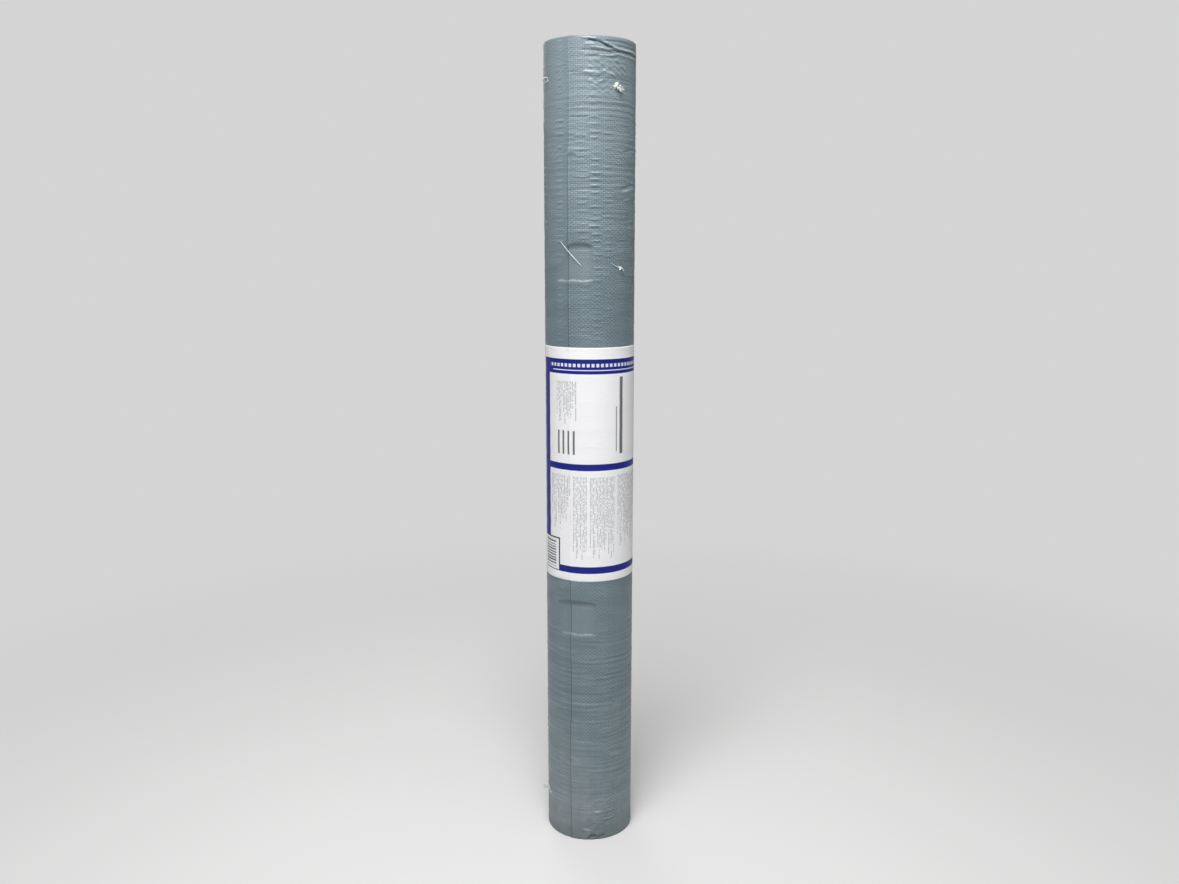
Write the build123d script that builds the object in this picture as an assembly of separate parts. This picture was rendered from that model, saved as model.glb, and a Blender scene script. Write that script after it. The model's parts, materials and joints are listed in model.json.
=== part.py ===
from build123d import *

import math
import os

# A roll of roofing underlayment that stands on its end, with the paper label pasted round it.
# Millimetres, +Z up. The origin is where the roll's axis meets the floor, and -Y is the front.
# Angles round the roll are in degrees from the front, growing towards +X.

# The wound sheet
roll_length = 1219.0        # the sheet's width, 48 inches
wound_diameter = 135.8      # across the tail's turn
bore_diameter = 50.8        # left by a 2 inch winding mandrel
tail_step = 0.6             # what the loose end of the last turn adds to the radius
tail_angle = -26.0          # where the sheet ends

# The turns that show on the two ends, as rings between fine notches
turn_pitch = 3.2
turn_notch_width = 0.9
turn_notch_depth = 0.8
bore_land = 5.0             # smooth ring of tight turns round the bore
rim_land = 2.5              # smooth ring of the last turns at the rim

# The paper label
label_width = 279.0         # round the roll, 11 inches
label_height = 356.0        # 14 inches
label_thickness = 0.2
label_bottom = 428.0        # above the floor
label_left_angle = -92.0    # where its left edge stands

FRONT = -90.0               # direction of the front, from +X
QUARTER = 90.0

wound_radius = wound_diameter / 2
bore_radius = bore_diameter / 2


def winding_outline():
    """Plan outline of the winding: a spiral of four quarter arcs and the tail's short straight edge.

    Each arc is a quarter of the tail step smaller than the one before it and is tangent to it,
    as each turn of the sheet lies on the turn inside it.
    """
    drop = tail_step / 4
    centre = Vector(0, 0)
    arcs = []
    for quarter in range(4):
        start = FRONT + tail_angle + QUARTER * quarter
        arcs.append(CenterArc((centre.X, centre.Y), wound_radius - drop * quarter, start, QUARTER))
        joint = math.radians(start + QUARTER)
        centre += Vector(math.cos(joint), math.sin(joint)) * drop
    tail_edge = Line(arcs[-1] @ 1, arcs[0] @ 0)
    return make_face(Curve() + arcs + tail_edge)


def turn_notch(foot, inwards):
    """Vee that parts two groups of turns, with its mouth at foot and its point inwards of the end."""
    radius, height = foot
    half = turn_notch_width / 2
    return make_face(
        Polyline(
            (radius - half, height),
            (radius, height + inwards * turn_notch_depth),
            (radius + half, height),
            close=True,
        )
    )


def half_section():
    """Half of the roll's section along its axis, as a turner would draw it."""
    stock_radius = wound_radius + tail_step
    section = Pos((bore_radius + stock_radius) / 2, roll_length / 2) * Rectangle(
        stock_radius - bore_radius, roll_length
    )
    first = bore_radius + bore_land
    last = wound_radius - rim_land
    notches = []
    for turn in range(int((last - first) / turn_pitch) + 1):
        radius = first + turn_pitch * turn
        notches.append(turn_notch((radius, 0), 1))
        notches.append(turn_notch((radius, roll_length), -1))
    return section - notches


def make_roll():
    """The winding: one solid turned about its axis, trimmed to the spiral of its last turn."""
    turned = revolve(Plane.XZ * half_section(), Axis.Z)
    trimmed = extrude(winding_outline(), roll_length) & turned
    trimmed.label = "underlayment_roll"
    return trimmed


def make_label():
    """The paper label: the winding's own outline, grown by the paper, over the label's angle."""
    outline = winding_outline()
    paper = offset(outline, label_thickness) - outline
    start = FRONT + label_left_angle
    sweep = math.degrees(label_width / wound_radius)
    reach = wound_radius * 2
    arc = CenterArc((0, 0), reach, start, sweep)
    sector = make_face(Curve() + [arc, Line((0, 0), arc @ 0), Line(arc @ 1, (0, 0))])
    label = extrude(Pos(0, 0, label_bottom) * (paper & sector), label_height)
    label.label = "paper_label"
    return label


os.makedirs("parts", exist_ok=True)
for piece in (make_roll(), make_label()):
    export_step(piece, f"parts/{piece.label}.step")
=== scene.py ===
"""The looks of a roll of woven roofing underlayment that stands on its end.

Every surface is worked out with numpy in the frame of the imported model, in metres. A place on the
roll is given by its angle round from the front, which grows towards +X, its distance from the
axis and its height above the floor.
"""

import json
import math
from collections import namedtuple
from functools import lru_cache, partial, reduce

import bmesh
import bpy
import numpy as np
from bpy.props import FloatProperty, FloatVectorProperty, PointerProperty
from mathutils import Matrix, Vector


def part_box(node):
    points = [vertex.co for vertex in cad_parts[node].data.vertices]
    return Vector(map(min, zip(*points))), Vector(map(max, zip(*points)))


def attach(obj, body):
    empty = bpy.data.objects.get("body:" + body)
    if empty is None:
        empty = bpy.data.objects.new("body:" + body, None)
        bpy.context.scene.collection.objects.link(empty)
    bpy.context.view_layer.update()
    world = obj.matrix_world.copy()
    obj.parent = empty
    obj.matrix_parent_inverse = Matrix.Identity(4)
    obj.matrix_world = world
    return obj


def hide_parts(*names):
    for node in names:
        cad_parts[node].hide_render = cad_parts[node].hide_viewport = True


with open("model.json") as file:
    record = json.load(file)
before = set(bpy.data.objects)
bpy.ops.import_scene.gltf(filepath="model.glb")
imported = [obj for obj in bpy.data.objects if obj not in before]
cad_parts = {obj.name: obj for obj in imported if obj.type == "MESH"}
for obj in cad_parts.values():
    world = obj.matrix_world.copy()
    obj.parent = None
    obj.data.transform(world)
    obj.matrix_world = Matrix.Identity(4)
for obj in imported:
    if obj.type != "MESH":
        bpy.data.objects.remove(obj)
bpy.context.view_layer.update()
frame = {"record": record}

bl_info = {
    "name": "Underlayment roll",
    "version": (1, 0, 0),
    "blender": (4, 5, 0),
    "location": "3D View > Sidebar > Underlayment",
    "description": "Builds the surfaces, label and wear of a roll of woven roofing underlayment",
    "category": "Add Mesh",
}

MM = 0.001
DEG = math.pi / 180
FULL_TURN = 2 * math.pi

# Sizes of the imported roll
ROLL_LOW, ROLL_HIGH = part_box("underlayment_roll")
LABEL_LOW, LABEL_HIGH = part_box("paper_label")
ROLL_LENGTH = ROLL_HIGH.z - ROLL_LOW.z
BORE_RADIUS = next(m for m in frame["record"]["mounts"] if m["name"] == "bore")["dims"]["r_mm"] * MM
# The last turn is at its widest at the tail, a little past half the box's width.
WOUND_RADIUS = (ROLL_HIGH.x - ROLL_LOW.x) / 2 + 0.2 * MM
TURN_LENGTH = FULL_TURN * WOUND_RADIUS
LABEL_WIDTH = 279 * MM
LABEL_HEIGHT = LABEL_HIGH.z - LABEL_LOW.z
LABEL_SPAN = LABEL_WIDTH / WOUND_RADIUS
LABEL_START = math.acos(-LABEL_HIGH.y / WOUND_RADIUS) - LABEL_SPAN

# The folds, in rough order from the top down. A fold's line is given in degrees round and
# millimetres up; rise and width are in millimetres.
Fold = namedtuple("Fold", "angles heights rise width")

FOLDS = tuple(Fold(*row) for row in (
    ((-8, 0, 6), (1216.5, 1215.5, 1214), 1.0, 1.6),
    ((0, 10, 16, 22, 28), (1213.2, 1211.2, 1208.4, 1205.6, 1203.8), -1.9, 1.5),
    ((19, 25, 30, 36, 46, 80), (1210, 1207.4, 1204.5, 1202.5, 1201.8, 1202.2), 1.5, 1.25),
    ((22, 34, 46, 66), (1212, 1212.4, 1212, 1210.5), -0.9, 1.2),
    ((38, 52, 80), (1206.6, 1206, 1206.4), -0.8, 1.0),
    ((-4, 5), (1207.6, 1207.2), 0.8, 1.6),
    ((3, 18, 23, 28), (1203.2, 1201.6, 1200.2, 1201.4), 0.95, 1.2),
    ((-7, 12, 24, 31), (1199.5, 1198.4, 1197.7, 1196.3), -0.95, 1.0),
    ((26, 32, 45, 84), (1200.8, 1199.6, 1199.4, 1199.2), -1.3, 1.3),
    ((14, 25, 31, 36, 45, 78), (1192.4, 1192.2, 1193.6, 1195.3, 1193.8, 1193.6), 0.93, 1.1),
    ((-6, 7), (1193.6, 1193.6), 0.6, 1.4),
    ((24, 36), (1190.3, 1190.1), -0.5, 1.0),
    ((-1, 9), (1190.6, 1191), -0.5, 1.1),
    ((-1, 10), (1186.8, 1186.6), 0.4, 1.2),
    ((24, 38), (1186.4, 1186), 0.4, 1.2),
    ((14, 46), (1183, 1163.5), 0.35, 1.3),
    ((16, 47), (1178.5, 1160.5), -0.35, 1.2),
    ((2, 24), (1178, 1160), 0.3, 1.2),
    ((9, 30), (1165, 1180), 0.25, 1.2),
    ((-5, 9), (1170.5, 1168.5), 0.9, 2.2),
    ((18, 30), (1171.5, 1166.5), 0.8, 1.8),
    ((1, 7, 14), (1159, 1152.5, 1159), 0.8, 1.5),
    ((-24, -12), (1170.5, 1170), -0.6, 1.0),
    ((-20, 4), (1165.5, 1164), -0.35, 2.0),
    ((22, 62), (1161.5, 1160.5), -0.6, 1.3),
    ((-24, 14), (1134, 1133), 0.45, 1.5),
    ((-26, 62), (1128.5, 1128), -0.4, 1.4),
    ((-22, 60), (1110, 1109), -0.4, 1.3),
    ((-24, -6), (1086.2, 1085.2), 0.5, 1.5),
    ((-20, -8), (1051, 1050.5), 0.4, 1.5),
    ((44, 66), (1012, 1018), -0.9, 2.0),
    ((46, 66), (1007, 1011), 0.8, 2.0),
    ((48, 66), (1063, 1068), -0.7, 1.8),
    ((50, 64), (995, 999), 0.6, 1.8),
    ((-28, -2), (801.5, 801.5), 0.5, 1.0),
    ((-24, -2), (300, 299), 0.3, 2.0),
    ((-22, -4), (285, 283.5), 0.5, 2.2),
    ((18, 50), (276, 274), -0.5, 2.0),
    ((28, 60), (251, 248.5), -0.7, 1.5),
    ((-50, 45), (245.5, 242), -0.35, 1.3),
    ((-22, 30), (229, 227.5), 0.5, 1.3),
    ((27, 34), (238, 228), -0.8, 1.6),
    ((34, 43), (223.5, 221), 0.65, 3.0),
    ((-24, 40), (209, 207), -0.4, 1.6),
    ((-52, 60), (197, 194.5), -0.5, 1.4),
    ((46, 62), (188, 185), -0.8, 2.4),
    ((-22, 2), (166, 165), 0.45, 1.6),
    ((28, 50), (149.5, 146.5), -0.8, 1.8),
    ((30, 48), (142, 139), 0.7, 2.8),
    ((-23, -14), (136, 133), 0.6, 3.2),
    ((-64, -38), (131, 127.5), -0.7, 1.4),
    ((-66, -46), (67, 68), -0.8, 1.5),
    ((-3, 0, 3, 8), (0, 4.5, 7.0, 6.2), -1.4, 2.6),
    ((-2, 3, 8), (7.5, 11, 9.5), 0.6, 1.2),
    ((9, 12.5, 16.5, 21), (0, 4, 6.6, 7.2), -1.2, 2.3),
    ((3, 8, 14, 19), (10, 15.5, 23, 26), -0.88, 3.6),
    ((-8, -4), (3.5, 3), 0.5, 1.8),
    ((-6.5, 0.5), (17, 16), 0.95, 1.5),
    ((-3, 5), (11, 14.5), 0.6, 2.4),
    ((-13, -5), (12, 15.6), -0.5, 1.5),
    ((-8, -3), (21, 21.6), -0.6, 1.6),
    ((2, 8), (25.5, 27.5), -0.7, 1.6),
    ((13, 20, 30), (14.5, 18.5, 19), -0.7, 2.0),
    ((16, 24, 34), (31.5, 29.5, 31.5), -0.8, 1.5),
    ((18, 26, 36), (34.5, 33.2, 35), 0.5, 1.2),
    ((14, 24, 35), (37.5, 36, 38), -0.7, 1.4),
    ((22, 33), (43.5, 43.2), -0.6, 1.3),
    ((8, 13.5), (47.4, 47.1), 0.9, 1.4),
    ((26, 31), (48.4, 48), 0.6, 1.3),
    ((20, 24), (54, 53.5), 0.5, 1.3),
    ((-7, -1), (58, 57.5), 0.7, 2.4),
    ((-35, -26), (63, 62), 0.35, 2.0),
))

# A strap dent lies between two creases, in millimetres up. Its span in degrees round differs at
# its upper and lower crease.
Dent = namedtuple("Dent", "top bottom top_left bottom_left right depth")

STRAP_DENTS = (
    Dent(931, 881.0, -27, -43, 3, 2.6),
    Dent(392, 342.5, -44, -40, 7, 2.6),
)

# A column of short ridges: its middle and half width in degrees round from the front, how far the
# middle drifts for each metre down the roll, and its share of the full ridge height.
Column = namedtuple("Column", "middle half drift share")

RIDGE_COLUMNS = tuple(Column(*row) for row in (
    (-40, 5.5, 0, 0.8),
    (-9, 7.5, 20, 0.75),
    (7.5, 6.0, 16, 1.15),
    (23, 5.0, 0, 0.6),
    (42, 9.0, 20, 0.4),
    (64, 6.0, 0, 0.5),
    (97, 8.0, 10, 0.8),
    (112, 6.0, 0, 0.6),
    (150, 7.0, -15, 0.9),
    (168, 6.0, 0, 0.5),
    (203, 7.0, 12, 1.0),
    (221, 5.0, 0, 0.5),
    (249, 8.0, -10, 0.8),
    (287, 6.0, 0, 0.6),
))
RIDGES_UP = 256      # random numbers for each column

# A torn tape's way off the sheet, as the control points of a smooth curve. Each point is degrees
# round, millimetres up and millimetres off the sheet. After the points come the tape's width in
# millimetres and its twist in degrees.
TORN_TAPES = (
    (((31.5, 1154.5, -0.3), (36, 1151, 4.6), (41.5, 1146, 2.0)), 6.0, 15),
    (((31.5, 1150.2, -0.3), (32, 1153.2, 2.4), (34.5, 1157.7, 1.6)), 4.6, 60),
    (((33.5, 1150.2, -0.3), (35.5, 1153.2, 3.6), (36, 1157.2, 3)), 3.6, -50),
    (((34.5, 1153.2, -0.3), (37.5, 1155.2, 3.2), (40, 1151.2, 2.6)), 3.6, 70),
    (((35.5, 1151.2, -0.3), (39.5, 1152.2, 4.2), (43, 1146.7, 3)), 3.8, -60),
    (((35.5, 1149.2, -0.3), (38.5, 1147.2, 3.6), (42, 1144.7, 2.4)), 3.0, 80),
    (((34.5, 1151.2, -0.2), (30.5, 1149.2, 1.6), (29.5, 1146.7, 0.6)), 2.2, 40),
    (((37.5, 1150.2, -0.2), (40.5, 1148.2, 1.2), (44, 1148.7, 1.8)), 2.2, -70),
    (((40, 899.5, -0.3), (43, 900.5, 2.6), (46, 894.5, 2.0)), 2.8, 50),
    (((38.5, 899, -0.3), (41, 902, 2.2), (39.5, 895.5, 1.6)), 2.8, -60),
    (((40, 899, -0.3), (37, 902.5, 1.6), (33.5, 901, 0.5)), 1.8, 60),
    (((39, 899.5, -0.2), (32, 903.5, 0.7), (26, 906.5, 0.1)), 0.5, 0),
    (((-38, 937, 0.2), (-30, 927, 1.2), (-18, 912, 1.2), (-9.7, 901.9, 0.3)), 1.1, 25),
    (((-64.5, 60, -0.2), (-68, 62, 1.6), (-73, 66, 4.0)), 2.2, 40),
    (((-72, 62, 0.5), (-76, 67, 4.5), (-79, 73, 3.5)), 3.0, 0),
    (((-72, 66, -0.5), (-75, 66, 5.0), (-78, 67, 9.5)), 7.0, 0),
    (((-70, 64, 0.0), (-73, 67, 4.0), (-76, 71, 8.0)), 4.5, 0),
)

# Where the cut end leans off its usual place: heights in metres and degrees towards the right.
TAIL_HEIGHTS = (0.0, 0.035, 0.08, 0.19, 0.205, 0.35, 0.95, 1.062, 1.072, 1.22)
TAIL_LEANS = (2.0, 1.9, 0.9, 0.5, 1.9, 1.5, -1.1, -0.5, 0.4, 0.1)

# The label's print, in millimetres from its lower left corner. Both kinds of row start with left,
# right, bottom and top. A block of rulings also has their spacing and the share of its height that
# the shortest one takes.
LABEL_RULINGS = (
    (54, 89, 238, 306, 2.6, 0.35),
    (42, 80, 72, 164, 2.9, 0.25),
    (84, 106, 30, 163, 2.2, 0.70),
    (110, 150, 32, 162, 2.2, 0.60),
    (155, 228, 44, 164, 2.4, 0.45),
)
LABEL_BARS = (
    (158, 164, 196, 312),
    (151, 152.5, 200, 268),
    *((left, left + 3.2, 196, 232) for left in (56.5, 65.5, 74.5, 83.5)),
)

FIELD_ROWS = 1536           # size of a random field over one turn of the sheet
FIELD_COLUMNS = 768
FLAP_HEIGHT = 1.062         # where the free end stands off most, and by how much
FLAP_LIFT = 1.9 * MM


def length(name, default, description):
    """A setting that is a length."""
    return FloatProperty(name=name, description=description, default=default, unit="LENGTH")


def paint(name, default, description):
    """A setting that is a colour."""
    return FloatVectorProperty(
        name=name, description=description, default=default, subtype="COLOR", min=0, max=1)


def power(name, default, description):
    """A setting that is a lamp's power."""
    return FloatProperty(name=name, description=description, default=default, unit="POWER")


def plain(name, default, description):
    """A setting that is a plain number."""
    return FloatProperty(name=name, description=description, default=default, subtype="FACTOR")


class RollSettings(bpy.types.PropertyGroup):
    """Sizes of the wound sheet that a user would change."""

    tail_angle: FloatProperty(
        name="Tail", description="Where the sheet ends, round from the front",
        default=-26 * DEG, subtype="ANGLE")
    tail_step: length("Tail step", 0.6 * MM, "What the last turn adds to the radius at its end")
    tail_lift: length("Tail lift", 0.9 * MM, "How far the free end stands off the turn below")
    sheet_thickness: length("Sheet", 0.35 * MM, "Thickness of the sheet at its free edges")
    ridge_height: length("Ridges", 0.85 * MM, "Height of the short ridges where the sheet is slack")
    band_height: length("Bands", 0.30 * MM, "Height of the long level waves where the sheet is slack")
    crease_height: length("Creases", 0.07 * MM, "Height of the fine slanting creases")
    swell_height: length("Swells", 0.10 * MM, "Height of the broad waves in the sheet")
    pucker_height: length("Puckers", 0.05 * MM, "Height of the small puckers of the weave")
    ridge_pitch: length("Ridge pitch", 9.5 * MM, "Usual distance from ridge to ridge up the roll")
    tape_width: length("Upright tape", 3.35 * MM, "Width of one upright tape")
    tape_height: length("Level tape", 2.72 * MM, "Width of one level tape")
    turn_drift: length("Turn drift", 1.1 * MM, "How far groups of turns stand in from the ends")


class LabelSettings(bpy.types.PropertyGroup):
    """Sizes of the printed paper label."""

    paper_thickness: length("Paper", 0.25 * MM, "Thickness of the label's paper")
    margin: length("Margin", 17 * MM, "White border outside the printed frame")
    band: length("Band", 22 * MM, "Width of the blue bands of the frame")
    crinkle: length("Crinkle", 0.06 * MM, "Height of the paper's own waves")


class FinishSettings(bpy.types.PropertyGroup):
    """Colours of the finishes."""

    sheet_colour: paint("Sheet", (0.149, 0.205, 0.232), "Blue-grey film over the weave")
    dirt_colour: paint("Dirt", (0.330, 0.340, 0.355), "Yard dirt on the sheet")
    paper_colour: paint("Paper", (0.86, 0.86, 0.875), "Unprinted paper")
    blue_ink: paint("Blue ink", (0.005, 0.012, 0.225), "Bands of the label's frame")
    navy_ink: paint("Navy ink", (0.012, 0.016, 0.06), "Thin lines along the bands")


class StageSettings(bpy.types.PropertyGroup):
    """Camera, lamps and floor."""

    eye_distance: length("Eye distance", 1.60, "From the roll's axis to the camera")
    eye_height: length("Eye height", 0.92, "Of the camera above the floor")
    fill: plain("Fill", 0.90, "Share of the picture's height that the roll takes")
    backdrop: paint("Backdrop", (0.66, 0.66, 0.66), "Colour behind the roll")
    key_power: power("Key", 57.0, "Power of the high lamp")
    front_power: power("Front", 21.0, "Power of the front lamp")
    side_power: power("Side", 3.0, "Power of the side lamp")
    back_power: power("Back", 15.0, "Power of the lamp behind the roll")
    sky_strength: plain("Sky", 0.25, "Strength of the even light")


# Shapes

def smooth(value):
    """0 below 0, 1 above 1, and 3t^2 - 2t^3 between."""
    t = np.clip(value, 0, 1)
    return t * t * (3 - 2 * t)


def window(value, low, high, fade):
    """1 between low and high, falling smoothly to 0 over fade outside each."""
    return smooth((value - low) / fade + 1) * smooth((high - value) / fade + 1)


def bell(value, middle, width):
    """A bell curve of height 1 about middle: e to the minus square of the distance in widths."""
    return np.exp(-(((value - middle) / width) ** 2))


def wrapped(angle):
    """The same direction as an angle between minus and plus half a turn."""
    return (angle + math.pi) % FULL_TURN - math.pi


def place(angle, radius, height):
    """Points on the roll: x = r sin a, y = -r cos a, z = h."""
    angle, radius, height = np.broadcast_arrays(angle, radius, height)
    return np.stack([radius * np.sin(angle), -radius * np.cos(angle), height], axis=-1)


@lru_cache(maxsize=None)
def crumple(seed, along, around, slant=0.0):
    """Random relief over one turn of the sheet, with heights by rows and angles by columns.

    Seeded white noise is filtered by frequency. The filter is a bell about one wave in `along`
    metres up the roll, times a bell of zero mean round it that keeps folds alike over `around`
    metres. slant turns the filter, in radians. The standard deviation is one.
    """
    noise = np.random.default_rng(seed).standard_normal((FIELD_ROWS, FIELD_COLUMNS))
    up = np.fft.fftfreq(FIELD_ROWS, ROLL_LENGTH / FIELD_ROWS)[:, None]
    across = np.fft.fftfreq(FIELD_COLUMNS, TURN_LENGTH / FIELD_COLUMNS)[None, :]
    turned_up = up * math.cos(slant) + across * math.sin(slant)
    turned_across = across * math.cos(slant) - up * math.sin(slant)
    keep = bell(np.abs(turned_up) * along, 1, 0.4) * bell(turned_across * around, 0, 0.5)
    relief = np.fft.ifft2(np.fft.fft2(noise) * keep).real
    return relief / relief.std()


def sampled(field, angle, height):
    """A field at any angles and heights, by straight lines between its four nearest entries."""
    row = np.clip(height / ROLL_LENGTH, 0, 1) * (FIELD_ROWS - 1)
    column = (angle / FULL_TURN % 1) * FIELD_COLUMNS
    low_row = np.minimum(row.astype(int), FIELD_ROWS - 2)
    low_column = column.astype(int) % FIELD_COLUMNS
    next_column = (low_column + 1) % FIELD_COLUMNS
    up, across = row - low_row, column - np.floor(column)
    left = field[low_row, low_column] * (1 - up) + field[low_row + 1, low_column] * up
    right = field[low_row, next_column] * (1 - up) + field[low_row + 1, next_column] * up
    return left * (1 - across) + right * across


def waves(angle, height, seed, along, around, slant=0.0):
    """Random relief at any angles and heights, with waves of a size given in millimetres."""
    return sampled(crumple(seed, along * MM, around * MM, slant), angle, height)


def tail_line(height):
    """Angle of the sheet's cut end at each height: straight stretches between a few heights."""
    lean = np.interp(height, TAIL_HEIGHTS, TAIL_LEANS) * DEG
    wave = 0.15 * DEG * np.sin(height * 71 + 1)
    return bpy.context.scene.roll.tail_angle + lean + wave


def spiral_radius(turned):
    """Radius of the last turn where the sheet has turned this far past its tail."""
    return WOUND_RADIUS - bpy.context.scene.roll.tail_step * turned / FULL_TURN


def under_label(angle, height):
    """1 where the label lies on the sheet, with soft edges, and 0 elsewhere."""
    beside = window(wrapped(angle), LABEL_START, LABEL_START + LABEL_SPAN, 3 * DEG)
    return beside * window(height, LABEL_LOW.z, LABEL_HIGH.z, 3 * MM)


def slackness(height):
    """How slack the sheet is up the roll: nearly tight at the foot, and slack from 0.87 m up."""
    return 0.38 + 0.20 * smooth((height - 0.74) / 0.08) + 0.42 * smooth((height - 0.85) / 0.1)


def ridge_columns(angle, height):
    """Short ridges in columns, one above the other at about the ridge pitch, from 0 to about 1.2.

    A ridge is a bell up the roll and a flat-topped bell, e to the minus fourth power, round it.
    Its size, its shift, its reach and the sag of its ends are random numbers of its own.
    """
    pitch = bpy.context.scene.roll.ridge_pitch
    total = np.zeros(np.broadcast(angle, height).shape)
    for number, column in enumerate(RIDGE_COLUMNS):
        size, shift, reach, sag = np.random.default_rng(60 + number).random((4, RIDGES_UP))
        middle = column.middle * DEG + column.drift * DEG * (1 - height)
        aside = wrapped(angle - middle) / (column.half * DEG)
        place_up = height / pitch + number * 0.37
        ridge = np.floor(place_up).astype(int) % RIDGES_UP
        aside = aside / (0.75 + 0.45 * reach[ridge]) + 0.5 * (shift[ridge] - 0.5)
        peak = 0.5 + 0.3 * (shift[ridge] - 0.5) + 0.22 * (sag[ridge] - 0.35) * np.clip(aside, -1.3, 1.3) ** 2
        crest = bell(place_up % 1, peak, 0.15) - 0.32 * bell(place_up % 1, peak - 0.3, 0.13)
        strength = 0.25 + 1.0 * size[ridge]
        total = total + column.share * strength * crest * np.exp(-(aside ** 4))
    return total


def between_joins(height):
    """1 on the sheet, and 0 along the two levels where one mesh of the last turn meets the next."""
    return 1 - sum(bell(height, join, 3 * MM) for join in JOINS)


def fold_share(fold, angle, height, above=0.0, sharper=1.0):
    """A bell across the fold's line, or above it, which fades out over 3 degrees past each end.

    The line runs straight between its points, and a mean over 4 degrees rounds its corners. Its
    strength wavers along it, as a sum of two sines does.
    """
    degrees = wrapped(angle) / DEG
    line = sum(np.interp(degrees + shift, fold.angles, fold.heights) for shift in (-2, -1, 0, 1, 2)) / 5
    across = bell(height / MM, line + above, fold.width * sharper)
    waver = np.sin(0.35 * degrees + fold.heights[0]) + np.sin(0.83 * degrees + 2.1 * fold.heights[0])
    return across * (1 + 0.15 * waver) * window(degrees, fold.angles[0], fold.angles[-1], 3)


def crease_glint(angle, height):
    """Painted light and shade: from 1, a painted highlight along the upper side of the sharpest folds,
    to -1, painted shade in the deepest ones.
    """
    total = 0
    for fold in FOLDS:
        if fold.rise > 0.75:
            bright = fold_share(fold, angle, height, 0.5 * fold.width, 0.65)
            total = total + min(0.7 * fold.rise, 1) * bright
        if fold.rise < -0.9:
            dark = fold_share(fold, angle, height, 0.2 * fold.width, 0.9)
            total = total - min(0.6 * -fold.rise, 1) * dark
    degrees, up = wrapped(angle) / DEG, height / MM
    # Each strap dent: a painted highlight along its lower crease, and painted shade where the sheet faces
    # down above its upper crease.
    for dent in STRAP_DENTS:
        line = bell(up, lower_crease(dent, angle) + 0.5, 1.3)
        line = line * window(degrees, dent.bottom_left + 6, dent.right - 4, 9)
        uneven = 1 + 0.4 * np.sin(0.3 * degrees + dent.top) + 0.3 * np.sin(0.9 * degrees)
        total = total + 0.27 * line * uneven
        facing_down = np.sqrt(dent_drop(dent, angle, height)) * smooth((up - dent.top) / 2 + 1)
        total = total - 0.45 * facing_down * dent_span(dent, angle, height)
    # A little painted light on the pressed stretches, which tilt up towards the light.
    return np.clip(total + 0.11 * pressed_flat(angle, height), -1, 1)


def dent_span(dent, angle, height, fade=8):
    """1 over a strap dent's width and 0 beside it, with ends that fade over so many degrees."""
    degrees = wrapped(angle) / DEG
    left = np.interp(height / MM, (dent.bottom, dent.top), (dent.bottom_left, dent.top_left))
    return smooth((degrees - left) / fade + 0.5) * smooth((dent.right - degrees) / fade + 0.5)


def lower_crease(dent, angle):
    """The level of a dent's lower crease in millimetres: straight, with two small sines on it."""
    degrees = wrapped(angle) / DEG
    return dent.bottom + 0.5 * np.sin(0.29 * degrees + dent.top) + 0.35 * np.sin(0.8 * degrees)


def dent_drop(dent, angle, height):
    """The way down into a dent, from 0 on an arc of a parabola above its upper crease to 1 on it."""
    degrees = wrapped(angle) / DEG
    along = np.clip((degrees - dent.top_left) / (dent.right - dent.top_left), 0, 1)
    start = dent.top + 1.5 + 22 * along * (1 - along)
    return smooth((start - height / MM) / (start - dent.top + 3))


def pressed_flat(angle, height):
    """1 on the stretches that the straps pressed flat, between the creases of each dent."""
    return sum(window(height / MM, dent.bottom, dent.top, 2) * dent_span(dent, angle, height, 20)
               for dent in STRAP_DENTS)


def dent_relief(dent, angle, height):
    """A shallow pocket under a strap: a drop, a slow way out, and a step at the lower crease.

    The way out is a straight line from the full depth to half of it.
    """
    up = height / MM
    drop = dent_drop(dent, angle, height)
    share = np.clip((up - dent.bottom) / (dent.top - dent.bottom), 0, 1)
    pocket = (0.5 + 0.5 * share) * drop * smooth((up - lower_crease(dent, angle)) / 2.2 + 0.5)
    toe = 0.16 * bell(up, dent.top - 5, 2.2)
    sill = 0.16 * bell(up, dent.bottom - 3.2, 2.2)
    return dent.depth * MM * dent_span(dent, angle, height) * (sill - pocket - toe)


def rim_lean(angle, height):
    """How far the rims are turned in: a small round lip, and a wide one where the rim is slack.

    Each lip is a quarter of an ellipse, down to nothing at its inner end, and the slack stretch
    also leans in a little over its last 35 mm.
    """
    degrees = wrapped(angle) / DEG
    from_rim = np.minimum(height, ROLL_LENGTH - height) / MM
    lip = 1 - np.sqrt(1 - np.clip(1 - from_rim / 1.2, 0, 1) ** 2)
    slack = 1 - np.sqrt(1 - 0.96 * np.clip(1 - (ROLL_LENGTH - height) / MM / 5.0, 0, 1) ** 2)
    wide = smooth((height / MM - 1184) / 36)
    return -MM * (0.6 * lip + (1.5 * slack + 1.5 * wide) * window(degrees, -8, 78, 14))


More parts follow.
